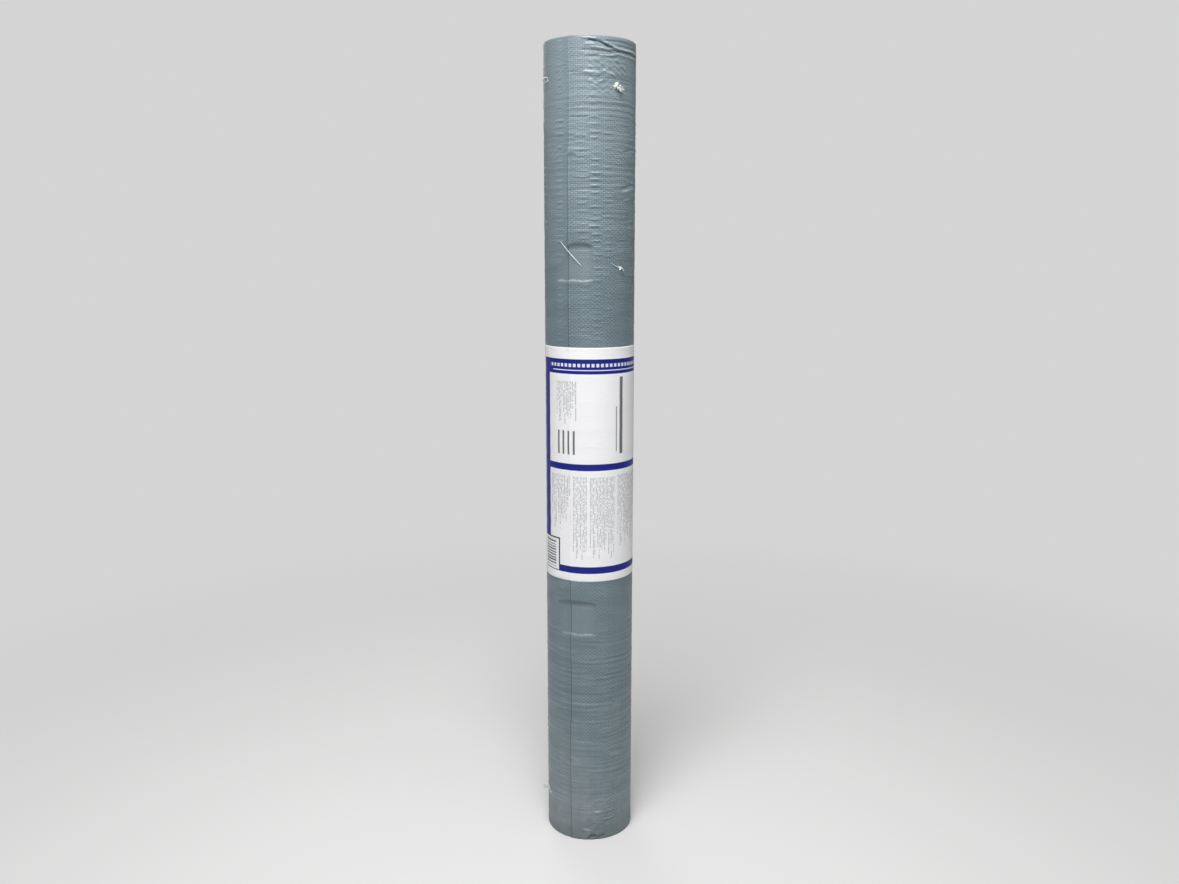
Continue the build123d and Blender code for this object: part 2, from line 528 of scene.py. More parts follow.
def sheet_relief(turned, height):
    """How far the last turn stands off its spiral, where it has turned this far past its tail.

    Short ridges, level bands, slanting creases, puckers and broad swells are added up, each with
    its own random field and its own stretch of the roll. The label and the straps press them
    flatter. The dents, the folds and the turned-in rims are added to that. Stretches are given in
    metres up and in degrees round.
    """
    roll = bpy.context.scene.roll
    angle = turned + roll.tail_angle
    degrees = wrapped(angle) / DEG
    field = partial(waves, angle, height)
    beside = partial(window, degrees)
    level = partial(window, height)
    slack = slackness(height)
    banded = 0.05 + 0.06 * level(1.07, 1.13, 12 * MM) + 0.05 * level(0.95, 1.16, 40 * MM)
    banded = banded * (0.45 + 0.55 * beside(-24, 75, 6))
    low_bands = field(17, 9.5, 42) + 0.5 * field(20, 6.8, 30)
    low_bands = low_bands * (1 + 0.7 * beside(28, 70, 8) * level(0.12, 0.28, 30 * MM))
    bands = banded * field(12, 9.0, 80) + 0.35 * level(0.06, 0.34, 40 * MM) * low_bands
    crossing = 0.7 * field(18, 7.5, 20, -0.6) + 1.2 * field(19, 7.5, 24, 0.6)
    crossing = beside(3, 44, 8) * level(1.145, 1.186, 12 * MM) * crossing
    falls = smooth(0.5 + 1.3 * np.sin(angle))
    slanting = falls * field(16, 4.4, 16, 0.62) + (1 - falls) * field(14, 4.4, 16, -0.62)
    ridges = (1 - 0.6 * level(1.132, 1.3, 20 * MM)) * ridge_columns(angle, height)
    relief = slack * (roll.ridge_height * ridges + roll.band_height * bands * 3)
    relief = relief + roll.crease_height * (slanting + 2.0 * crossing)
    relief = (relief + roll.pucker_height * field(15, 4.2, 5)) * between_joins(height)
    relief = relief + roll.swell_height * field(13, 36, 42)
    relief = relief * (1 - 0.7 * under_label(angle, height)) * (1 - 0.75 * pressed_flat(angle, height))
    relief = relief + sum(dent_relief(dent, angle, height) for dent in STRAP_DENTS)
    relief = relief + sum(fold.rise * MM * fold_share(fold, angle, height) for fold in FOLDS)
    return relief + rim_lean(angle, height)


def tail_lift(turned, height):
    """The free end's stand-off: most at the edge, gone 10 degrees in, uneven up the roll.

    It lies close near the top. At one height a flap stands off more: a sudden step out from below,
    a quick way halfway back, and a slow rest of the way.
    """
    roll = bpy.context.scene.roll
    uneven = 0.5 + 0.4 * np.sin(height * 19 + 0.6) * np.sin(height * 7)
    uneven = uneven * (1 - 0.85 * smooth((height - 1.10) / 0.05))
    above = np.maximum(height - FLAP_HEIGHT, 0)
    flap = 0.6 * np.exp(-above / (9 * MM)) + 0.4 * np.clip(1 - above / (35 * MM), 0, 1)
    flap = flap * smooth((height - FLAP_HEIGHT) / (6 * MM) + 1)
    pressed = under_label(turned + roll.tail_angle, height)
    edge = roll.tail_lift * uneven * (1 - pressed) * np.exp(-turned / (5 * DEG))
    return edge + FLAP_LIFT * flap * bell(turned, 2 * DEG, 8 * DEG)


def grid_piece(name, points, uv, closed=False, **values):
    """A mesh over a grid of points, by rows and columns, with one quad between each four.

    uv holds a pair for each point, with one column more where the columns close into a ring.
    Each of values is a number for each point, kept as an attribute of that name.
    """
    rows, columns = points.shape[:2]
    across = columns if closed else columns - 1
    index = np.arange(rows * columns).reshape(rows, columns)
    index = np.concatenate([index, index[:, :1]], axis=1)[:, :across + 1]
    corners = np.stack([index[:-1, :-1], index[:-1, 1:], index[1:, 1:], index[1:, :-1]], axis=-1)
    corner_uv = np.stack([uv[:-1, :across], uv[:-1, 1:across + 1],
                          uv[1:, 1:across + 1], uv[1:, :across]], axis=2)
    count = corners.shape[0] * corners.shape[1]
    mesh = bpy.data.meshes.new(name)
    mesh.vertices.add(rows * columns)
    mesh.vertices.foreach_set("co", points.astype(np.float32).ravel())
    mesh.loops.add(count * 4)
    mesh.loops.foreach_set("vertex_index", corners.astype(np.int32).ravel())
    mesh.polygons.add(count)
    mesh.polygons.foreach_set("loop_start", np.arange(0, count * 4, 4, dtype=np.int32))
    mesh.polygons.foreach_set("loop_total", np.full(count, 4, dtype=np.int32))
    mesh.polygons.foreach_set("use_smooth", np.ones(count, dtype=bool))
    mesh.uv_layers.new(name="flat")
    mesh.uv_layers["flat"].data.foreach_set("uv", corner_uv.astype(np.float32).ravel())
    for key, numbers in values.items():
        held = mesh.attributes.new(key, "FLOAT", "POINT")
        held.data.foreach_set("value", numbers.astype(np.float32).ravel())
    mesh.update(calc_edges=True)
    mesh.validate()
    piece = bpy.data.objects.new(name, mesh)
    bpy.context.scene.collection.objects.link(piece)
    return piece


def finish_piece(piece, material, replaces="underlayment_roll"):
    """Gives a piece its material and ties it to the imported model."""
    piece.data.materials.append(material)
    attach(piece, "root")
    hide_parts(replaces)


# The last turn

SLOT_ANGLE = 10 * DEG       # how far the gap under the free end reaches
AROUND = 262                # points round the outside
JOINS = (366 * MM, 905 * MM)    # in the bands that the straps pressed flat
LABEL_LAP = 20 * MM         # how far the finer parts reach under the label
RIM_WAVER = 0.35 * MM       # how far the rims waver up and down, and how far that reaches in
WAVER_REACH = 8 * MM

# The last turn's five lengths from the floor up: name, upper end in metres, and the spacing of its
# rows in millimetres.
LAST_TURN = (
    ("foot", JOINS[0], 1.12),
    ("lower", LABEL_LOW.z + LABEL_LAP, 1.12),
    ("middle", LABEL_HIGH.z - LABEL_LAP, 2.4),
    ("upper", JOINS[1], 1.05),
    ("top", ROLL_LENGTH, 0.97),
)


def turn_columns():
    """The last turn's plan as a closed loop: turned angle and depth below the sheet's face.

    It runs from the bottom of the gap along the free end's underside, over its cut edge, once
    round the outside, and back into the gap on the turn below.
    """
    thickness = bpy.context.scene.roll.sheet_thickness
    under, inside = np.linspace(1, 0.06, 7), np.linspace(0, 1, 8)[1:]
    gap = SLOT_ANGLE * under
    edge = np.array([0.03, 0.0, 0.03]) * DEG
    outside = np.concatenate([np.array([0.25, 0.6]) * DEG, np.linspace(0, FULL_TURN, AROUND)[1:]])
    below = FULL_TURN + SLOT_ANGLE * inside
    turned = np.concatenate([gap, edge, outside, below])
    close = 0.15 * MM
    depth = np.concatenate([
        thickness + close * under ** 2,
        thickness * np.array([1.0, 0.5, 0.0]),
        np.zeros(len(outside)),
        -close * inside ** 2,
    ])
    return turned, depth


def skin_radius(turned, height):
    """Distance of the last turn's face from the axis."""
    return spiral_radius(turned) + sheet_relief(turned, height) + tail_lift(turned, height)


def skin_part(name, rows):
    """A stretch of the last turn over the given heights, with a hem where it reaches a rim.

    The material reads five numbers of each point: crest, its place between trough and ridge;
    coarse, how much the weave stands out; the painted highlight and shade that the folds and strap
    dents give; gap, its way past the free end's edge on the turn below, in metres; and hem, its way
    in from that edge.
    """
    roll = bpy.context.scene.roll
    lower_rim, upper_rim = rows[0] == 0, rows[-1] == ROLL_LENGTH
    turned, depth = turn_columns()
    turned, height = np.meshgrid(turned, rows)
    depth = np.broadcast_to(depth, turned.shape)
    relief = sheet_relief(turned, height)
    radius = spiral_radius(turned) + relief + tail_lift(turned, height) - depth
    edge = tail_line(height)
    lean = (edge - roll.tail_angle) * smooth(1 - turned / SLOT_ANGLE)
    angle = turned + roll.tail_angle + lean
    free = turned < math.pi
    gap = np.where(free, -1, (angle - FULL_TURN - edge) * WOUND_RADIUS)
    hem = np.where(free, (angle - edge) * WOUND_RADIUS, 1)
    ragged = RIM_WAVER * (1 + np.sin(turned * 7) * np.sin(turned * 17 + 1)) / 2
    uv = np.stack([turned * WOUND_RADIUS, height], axis=-1)
    level = height.copy()
    if upper_rim:
        level = level - ragged * smooth((height - ROLL_LENGTH) / WAVER_REACH + 1)
    if lower_rim:
        level = level + ragged * smooth(1 - height / WAVER_REACH)
    crest = smooth(relief / roll.ridge_height * 0.9 + 0.35)
    coarse = 1 - 0.4 * window(wrapped(angle), -80 * DEG, -27 * DEG, 4 * DEG)
    coarse = coarse * (1 - 0.35 * pressed_flat(angle, height))
    grids = [place(angle, radius, level), uv, crest, coarse, crease_glint(angle, height), gap, hem]
    if upper_rim:
        grids = add_hem(grids, -1)
    if lower_rim:
        grids = [grid[::-1] for grid in add_hem([grid[::-1] for grid in grids], 1)]
    points, uv, crest, coarse, glint, gap, hem = grids
    uv = np.concatenate([uv, uv[:, -1:]], axis=1)
    return grid_piece(name, points, uv, closed=True,
                      crest=crest, coarse=coarse, glint=glint, gap=gap, hem=hem)


def add_hem(grids, direction):
    """Two rows more past the last: the sheet's cut edge, and a short way down its inner face."""
    thickness = bpy.context.scene.roll.sheet_thickness
    rim = grids[0][-1]
    outwards = rim * np.array([1, 1, 0])
    outwards = outwards / np.linalg.norm(outwards, axis=1, keepdims=True)
    edge = rim - outwards * thickness
    inner = edge + np.array([0, 0, direction * 3 * MM])
    points = np.concatenate([grids[0], edge[None], inner[None]])
    return [points] + [np.concatenate([grid, grid[-1:], grid[-1:]]) for grid in grids[1:]]


def heights_between(low, high, step):
    """Evenly spaced heights from low to high, about a step apart, and closer along the rims."""
    heights = np.linspace(low, high, int(round((high - low) / step)) + 1)
    lips = np.array([0.12, 0.35, 0.7]) * MM
    extra = np.concatenate([lips, ROLL_LENGTH - lips])
    return np.union1d(heights, extra[(extra > low) & (extra < high)])


class UNDERLAYMENT_OT_last_turn(bpy.types.Operator):
    """Build the outer face of the roll, with its ridges, folds, strap dents and free end"""

    bl_idname = "underlayment.last_turn"
    bl_label = "Last turn"

    def execute(self, context):
        material = sheet_material()
        low = 0
        for name, high, spacing in LAST_TURN:
            part = skin_part("last_turn_" + name, heights_between(low, high, spacing * MM))
            finish_piece(part, material)
            low = high
        return {"FINISHED"}


# The ends and the bore

END_RINGS = 84
END_COLUMNS = 300
BORE_ROWS = 40
DRIFT_PITCH = 1.5 * MM      # from one group of turns to the next
DRIFT_DEPTHS = 64           # random depths, more than there are groups
EDGE_LINE_PITCH = 0.36 * MM     # from one drawn turn to the next


def drift_of_turns(radius, angle, seed):
    """How far the turns stand in from the end: steps from turn to turn along the spiral.

    The turn's number is its radius in pitches less the share of the turn gone round, so the steps
    wind inwards. Each number has its own random depth. The depth eases to the next number's
    across a turn, and changes evenly to the next number's along it.
    """
    share = angle / FULL_TURN
    number = (radius - BORE_RADIUS) / DRIFT_PITCH - share + 4
    depths = np.random.default_rng(seed).random(DRIFT_DEPTHS) ** 1.6
    low = np.floor(number).astype(int) % (DRIFT_DEPTHS - 2)
    ease = smooth((number % 1) * 3)
    here = depths[low] * (1 - ease) + depths[low + 1] * ease
    following = depths[low + 1] * (1 - ease) + depths[low + 2] * ease
    depth = here * (1 - share) + following * share
    groove = bell(number % 1, 0.0, 0.14) + bell(number % 1, 1.0, 0.14)
    return bpy.context.scene.roll.turn_drift * (0.12 + 0.7 * depth) + 0.35 * MM * groove


class UNDERLAYMENT_OT_wound_turns(bpy.types.Operator):
    """Build the two ends, where the turns show edge on, and the wall of the bore"""

    bl_idname = "underlayment.wound_turns"
    bl_label = "Wound turns"

    def execute(self, context):
        roll = context.scene.roll
        columns = np.linspace(0, FULL_TURN, END_COLUMNS, endpoint=False)[None, :]
        inwards = np.linspace(0, 1, END_RINGS)[:, None]
        turned = (columns - roll.tail_angle) % FULL_TURN
        ends = []
        for level, seed in ((ROLL_LENGTH, 31), (0.0, 32)):
            rim = skin_radius(turned, np.full_like(turned, abs(level - 1 * MM)))
            rim = rim - roll.sheet_thickness / 2
            radius = rim * (1 - inwards) + BORE_RADIUS * inwards
            angle = np.broadcast_to(columns, radius.shape)
            depth = drift_of_turns(radius, angle, seed) + 0.5 * MM * bell(inwards, 1, 0.02)
            ends.append((angle, radius, level - depth if level else depth))
        upper, lower = ends
        down = np.linspace(1, 0, BORE_ROWS + 2)[1:-1, None]
        bore_height = lower[2][-1] * (1 - down) + upper[2][-1] * down
        bore_angle = np.broadcast_to(columns, bore_height.shape)
        ripple = 0.12 * MM * waves(bore_angle, bore_height, 33, 60, 30)
        first_turn = 0.45 * MM * (bore_angle / FULL_TURN)
        bore_radius = BORE_RADIUS + first_turn + ripple
        bore = (bore_angle, bore_radius, bore_height)
        angle, radius, height = (
            np.concatenate([above, middle, below[::-1]]) for above, middle, below in zip(upper, bore, lower))
        uv = np.stack([angle / FULL_TURN, radius], axis=-1)
        uv = np.concatenate([uv, uv[:, :1] + np.array([1, 0])], axis=1)
        wall = np.zeros_like(radius)
        wall[END_RINGS:-END_RINGS] = 1
        piece = grid_piece("wound_turns", place(angle, radius, height), uv, closed=True, wall=wall)
        finish_piece(piece, turn_edge_material())
        return {"FINISHED"}


# The label

LABEL_COLUMNS = 210
LABEL_ROWS = 236
EDGE_SINK = 0.25 * MM       # how far the label's edge goes into the sheet


def label_radius(angle, height):
    """Distance of the label's face from the axis: the sheet below it, with the tail bridged."""
    roll, label = bpy.context.scene.roll, bpy.context.scene.label
    turned = (angle - roll.tail_angle) % FULL_TURN
    past = angle - roll.tail_angle
    bridge = smooth(past / (3.2 * DEG) + 1) * (past < 0)
    base = spiral_radius(turned) + roll.tail_step * bridge
    own = 1.2 + waves(angle, height, 21, 26, 60) + 0.35 * waves(angle, height, 22, 7, 16)
    return base + sheet_relief(turned, height) + label.paper_thickness + label.crinkle * own


class UNDERLAYMENT_OT_label(bpy.types.Operator):
    """Build the printed paper label that is pasted round the middle of the roll"""

    bl_idname = "underlayment.label"
    bl_label = "Paper label"

    def execute(self, context):
        across = np.linspace(0, 1, LABEL_COLUMNS)
        up = np.linspace(0, 1, LABEL_ROWS)
        across, up = np.meshgrid(np.pad(across, 1, "edge"), np.pad(up, 1, "edge"))
        angle = LABEL_START + LABEL_SPAN * across
        height = LABEL_LOW.z + LABEL_HEIGHT * up
        radius = label_radius(angle, height)
        edge = np.pad(np.zeros((LABEL_ROWS, LABEL_COLUMNS)), 1, constant_values=1)
        radius = radius - edge * (context.scene.label.paper_thickness + EDGE_SINK)
        uv = np.stack([across * LABEL_WIDTH, up * LABEL_HEIGHT], axis=-1)
        piece = grid_piece("paper_label_sheet", place(angle, radius, height), uv)
        finish_piece(piece, label_material(), "paper_label")
        return {"FINISHED"}


# Torn tapes

TAPE_STEPS = 22
TAPE_SIDES = 8
TAPE_THICKNESS = 0.25 * MM
THREAD_STEPS = 3 * TAPE_STEPS
THREAD_RADIUS = 0.75 * MM
THREAD_ANGLE = -66          # degrees round, where it leaves the sheet
THREAD_HEIGHT = 1164        # millimetres up


def shares(steps):
    """Even shares of the way along a line, from 0 to 1, as a column."""
    return np.linspace(0, 1, steps)[:, None]


def tube(centre, wide, thick, sharpness):
    """Ellipses along a line, whose half axes are given for each point and shrink at both ends.

    They shrink by the root of the way gone times the way left, times the sharpness, up to 1.
    """
    t = shares(len(centre))
    taper = np.sqrt(np.clip(t * (1 - t) * sharpness, 0, 1))[:, :, None]
    around = np.linspace(FULL_TURN, 0, TAPE_SIDES, endpoint=False)[:, None]
    ring = wide[:, None] * np.cos(around) + thick[:, None] * np.sin(around)
    return centre[:, None] + ring * taper


def tape_points(way, width, twist):
    """A flat tape along a Bezier curve, as rings of points that close to a point at both ends.

    Each ring is an ellipse as wide as the tape and as thick as its film, across the curve. It
    leans round the curve from 0 at the root to the twist at the tip. A wide tape is ragged: two
    sines change its width, and one moves it to the side.
    """
    way = np.array(way, dtype=float)
    degree = len(way) - 1
    powers = np.arange(degree + 1)
    t = shares(TAPE_STEPS)
    counts = np.array([math.comb(degree, k) for k in powers])
    path = (counts * t ** powers * (1 - t) ** (degree - powers)) @ way
    ends = way[[0, -1]]
    turned = (ends[:, 0] * DEG - bpy.context.scene.roll.tail_angle) % FULL_TURN
    seat = skin_radius(turned, ends[:, 1] * MM)
    radius = seat[0] * (1 - t[:, 0]) + seat[1] * t[:, 0] + path[:, 2] * MM
    centre = place(path[:, 0] * DEG, radius, path[:, 1] * MM)
    along = unit(np.gradient(centre, axis=0))
    side = unit(np.cross(along, place(path[:, 0] * DEG, 1.0, 0.0)))
    lift = np.cross(side, along)
    lean = twist * DEG * (t + 0.5 * np.sin(9 * t + width) * np.minimum(width / 3, 1))
    flat = side * np.cos(lean) + lift * np.sin(lean)
    thick = lift * np.cos(lean) - side * np.sin(lean)
    torn = min(width / 4, 1)
    uneven = 0.18 * np.sin(13 * t + 7 * width) + 0.12 * np.sin(31 * t + width)
    half = width * MM / 2 * (1 + torn * uneven)
    centre = centre + flat * half * 0.25 * torn * np.sin(19 * t + 3 * width)
    return tube(centre, flat * half, thick * TAPE_THICKNESS, 9)


def curl_points():
    """A thread that springs off the sheet in one loop: a circle that drifts round the roll."""
    t = shares(THREAD_STEPS)
    loop = t * FULL_TURN * 1.15
    off = 3.0 - 3.2 * np.cos(loop)
    up = THREAD_HEIGHT + 0.5 - 3.4 * np.sin(loop)
    degrees = THREAD_ANGLE + 4 * t
    turned = (THREAD_ANGLE * DEG - bpy.context.scene.roll.tail_angle) % FULL_TURN
    radius = skin_radius(np.array(turned), np.array(THREAD_HEIGHT * MM)) + off * MM
    centre = place(degrees * DEG, radius, up * MM)[:, 0]
    along = unit(np.gradient(centre, axis=0))
    side = unit(np.cross(along, place(degrees[:, 0] * DEG, 0.0, 0.0) + np.array([0.4, 0.9, 0.1])))
    return tube(centre, side * THREAD_RADIUS, np.cross(side, along) * THREAD_RADIUS, 30)


def unit(vectors):
    """Vectors of length one in the same directions."""
    return vectors / np.maximum(np.linalg.norm(vectors, axis=-1, keepdims=True), 1e-9)


class UNDERLAYMENT_OT_torn_tapes(bpy.types.Operator):
    """Build the torn white tape ends, the pulled strand and the curled thread"""

    bl_idname = "underlayment.torn_tapes"
    bl_label = "Torn tapes"

    def execute(self, context):
        tapes = np.concatenate([tape_points(*tape) for tape in TORN_TAPES])
        build_tapes("torn_tapes", tapes, TAPE_STEPS, torn_tape_material())
        build_tapes("curled_thread", curl_points(), THREAD_STEPS, thread_material())
        return {"FINISHED"}


def build_tapes(name, points, steps, material):
    """One mesh of like tapes, whose rings lie one tape after the other in points."""
    rows = points.shape[0]
    step = np.arange(rows) % steps
    gone = step / (steps - 1)
    uv = np.stack(np.broadcast_arrays(np.linspace(0, 1, TAPE_SIDES + 1), gone[:, None]), axis=-1)
    piece = grid_piece(name, points, uv, closed=True)
    mesh = bmesh.new()
    mesh.from_mesh(piece.data)
    mesh.verts.ensure_lookup_table()
    last = {row * TAPE_SIDES for row in range(steps - 1, rows, steps)}
    bridges = [face for face in mesh.faces
               if any(last_row <= min(v.index for v in face.verts) < last_row + TAPE_SIDES
                      for last_row in last)]
    bmesh.ops.delete(mesh, geom=bridges, context="FACES")
    bmesh.ops.remove_doubles(mesh, verts=mesh.verts, dist=1e-6)
    mesh.to_mesh(piece.data)
    mesh.free()
    finish_piece(piece, material)


# Finishes

class Signal:
    """A node's output. Sums and comparisons with it add Math nodes to its tree."""

    def __init__(self, socket):
        self.socket = socket
        self.tree = socket.id_data

    def __add__(self, other):
        return calc("ADD", self, other)

    def __sub__(self, other):
        return calc("SUBTRACT", self, other)

    def __rsub__(self, other):
        return calc("SUBTRACT", other, self)

    def __mul__(self, other):
        return calc("MULTIPLY", self, other)

    def __truediv__(self, other):
        return calc("DIVIDE", self, other)

    def __lt__(self, other):
        return calc("LESS_THAN", self, other)

    def __gt__(self, other):
        return calc("GREATER_THAN", self, other)

    def clamped(self):
        """The same signal, which its own Math node then keeps between 0 and 1."""
        self.socket.node.use_clamp = True
        return self


def feed(made, sockets):
    """Fills a node's inputs: a signal is linked, and a plain value is set."""
    for key, value in dict(sockets).items():
        if isinstance(value, Signal):
            value.tree.links.new(value.socket, made.inputs[key])
        else:
            made.inputs[key].default_value = value


def node(tree, kind, sockets=(), **settings):
    """Adds a node, sets its properties and fills its inputs."""
    made = tree.nodes.new(kind)
    for name, value in settings.items():
        setattr(made, name, value)
    feed(made, sockets)
    return made


def calc(operation, *inputs):
    """A Math node over signals and numbers."""
    tree = next(value.tree for value in inputs if isinstance(value, Signal))
    return Signal(node(tree, "ShaderNodeMath", enumerate(inputs), operation=operation).outputs[0])


def either(*masks):
    """The highest of some signals."""
    return reduce(lambda first, second: calc("MAXIMUM", first, second), masks)


def colour(value):
    """A colour as the four numbers of a socket."""
    return (*np.clip(value, 0, 1), 1.0)


def mix(first, second, share):
    """The first colour with a share of the second over it."""
    first, second = (value if isinstance(value, Signal) else colour(value) for value in (first, second))
    made = node(share.tree, "ShaderNodeMix", {0: share, 6: first, 7: second}, data_type="RGBA")
    return Signal(made.outputs[2])


def layered(film, layers):
    """A colour with others laid over it in turn, each by a share of its own."""
    for over, share in layers:
        film = mix(film, over, share)
    return film


def attribute(tree, name):
    """A number that the mesh holds for each point."""
    return Signal(node(tree, "ShaderNodeAttribute", attribute_name=name).outputs["Fac"])


def flat_place(tree):
    """The place on the piece's own flat map."""
    return Signal(node(tree, "ShaderNodeUVMap", uv_map="flat").outputs[0])


def object_place(tree):
    """The place in the object's own frame, in metres."""
    return Signal(node(tree, "ShaderNodeTexCoord").outputs["Object"])


def split(place_on):
    """The three numbers of a place."""
    made = node(place_on.tree, "ShaderNodeSeparateXYZ", {0: place_on})
    return [Signal(socket) for socket in made.outputs]


def noise(place_on, scale, detail, roughness=0.5):
    """Cloudy noise from 0 to 1, with so many clouds to the metre."""
    sockets = {"Vector": place_on, "Scale": scale, "Detail": detail, "Roughness": roughness}
    return Signal(node(place_on.tree, "ShaderNodeTexNoise", sockets).outputs["Fac"])


def chance(number, second=None):
    """A random number from 0 to 1 for each whole number, or for each pair of them."""
    tree = number.tree
    if second is None:
        made = node(tree, "ShaderNodeTexWhiteNoise", {"W": number}, noise_dimensions="1D")
    else:
        pair = Signal(node(tree, "ShaderNodeCombineXYZ", {"X": number, "Y": second}).outputs[0])
        made = node(tree, "ShaderNodeTexWhiteNoise", {"Vector": pair}, noise_dimensions="2D")
    return Signal(made.outputs["Value"])


def ramp(value, start, end, **settings):
    """0 at start and 1 at end, on a straight line between them and level past both."""
    sockets = {"Value": value, "From Min": start, "From Max": end}
    return Signal(node(value.tree, "ShaderNodeMapRange", sockets, **settings).outputs["Result"])


def bump(height, strength, distance):
    """The direction of a surface that a height bends."""
    sockets = {"Strength": strength, "Distance": distance, "Height": height}
    return Signal(node(height.tree, "ShaderNodeBump", sockets).outputs[0])


def group_tree(name, inputs, outputs):
    """A new node group: its tree, its inputs as signals, and the node that takes its outputs."""
    tree = bpy.data.node_groups.new(name, "ShaderNodeTree")
    for label in inputs:
        kind = "NodeSocketVector" if label == "Place" else "NodeSocketFloat"
        tree.interface.new_socket(label, in_out="INPUT", socket_type=kind)
    for label in outputs:
        tree.interface.new_socket(label, in_out="OUTPUT", socket_type="NodeSocketFloat")
    given = node(tree, "NodeGroupInput").outputs[:len(inputs)]
    return tree, [Signal(socket) for socket in given], node(tree, "NodeGroupOutput")


def grouped(tree, name, make, sockets):
    """Places a shared node group, built the first time, and gives its outputs by name."""
    shared = bpy.data.node_groups.get(name) or make()
    made = node(tree, "ShaderNodeGroup", node_tree=shared)
    feed(made, sockets)
    return {socket.name: Signal(socket) for socket in made.outputs}


def weave_group():
    """Flat tapes woven over and under each other.

    Cells as wide as the upright tapes and as tall as the level ones alternate like a chessboard.
    On white cells an upright tape is on top, on black ones a level tape. The top tape arches
    along its length and is rounded off towards its two edges. "On top" runs from 1 in the middle
    of a level tape's cell to -1 in the middle of an upright one's, and is 0 on all cell edges.
    """
    tree, (place_on, tape_width, tape_height), result = group_tree(
        "Woven tapes", ("Place", "Upright", "Level"), ("Height", "Shade", "Gap", "On top"))
    across, up, _ = split(place_on)
    across, up = across / tape_width, up / tape_height
    column, row = calc("FLOOR", across), calc("FLOOR", up)
    upright = calc("FLOORED_MODULO", column + row, 2.0)
    level = 1.0 - upright
    sides = [calc("FRACT", value) - 0.5 for value in (across, up)]
    arch_x, arch_y = (calc("COSINE", side * math.pi) for side in sides)
    edge_x, edge_y = (calc("POWER", calc("ABSOLUTE", side * 2.0), 6.0) for side in sides)
    along = upright * arch_y + level * arch_x
    edge = upright * edge_x + level * edge_y
    feed(result, {
        "Height": along * (1.0 - edge * 0.6),
        "Shade": chance(upright * column + level * (row + 0.37)),
        "Gap": edge,
        "On top": (level - upright) * along * (1.0 - edge),
    })
    return tree


def dirt_group():
    """Yard dirt: cloudy patches that thicken towards the floor, from 0 to 1."""
    tree, (amount, foot_height), result = group_tree("Yard dirt", ("Amount", "Foot"), ("Mask", "Cloud"))
    where = object_place(tree)
    cloud = noise(where, 16.0, 6.0, 0.62)
    patch = ((cloud - 0.48) * 4.0).clamped()
    grain = ((noise(where, 95.0, 4.0) - 0.35) * 2.2).clamped()
    foot = (1.0 - split(where)[2] / foot_height).clamped()
    spread = patch * amount + foot * foot * 0.8
    feed(result, {"Mask": (spread * grain).clamped(), "Cloud": cloud})
    return tree


def bar_group():
    """A printed bar: 1 inside a rectangle of the flat label, 0 outside."""
    tree, (across, up, left, right, bottom, top), result = group_tree(
        "Printed bar", ("Across", "Up", "Left", "Right", "Bottom", "Top"), ("Ink",))
    feed(result, {"Ink": (across > left) * (across < right) * ((up > bottom) * (up < top))})
    return tree


def new_material(name):
    """A material with its node tree and its shader."""
    material = bpy.data.materials.new(name)
    material.use_nodes = True
    tree = material.node_tree
    tree.nodes.clear()
    shader = node(tree, "ShaderNodeBsdfPrincipled")
    node(tree, "ShaderNodeOutputMaterial", {"Surface": Signal(shader.outputs[0])})
    return material, tree, shader


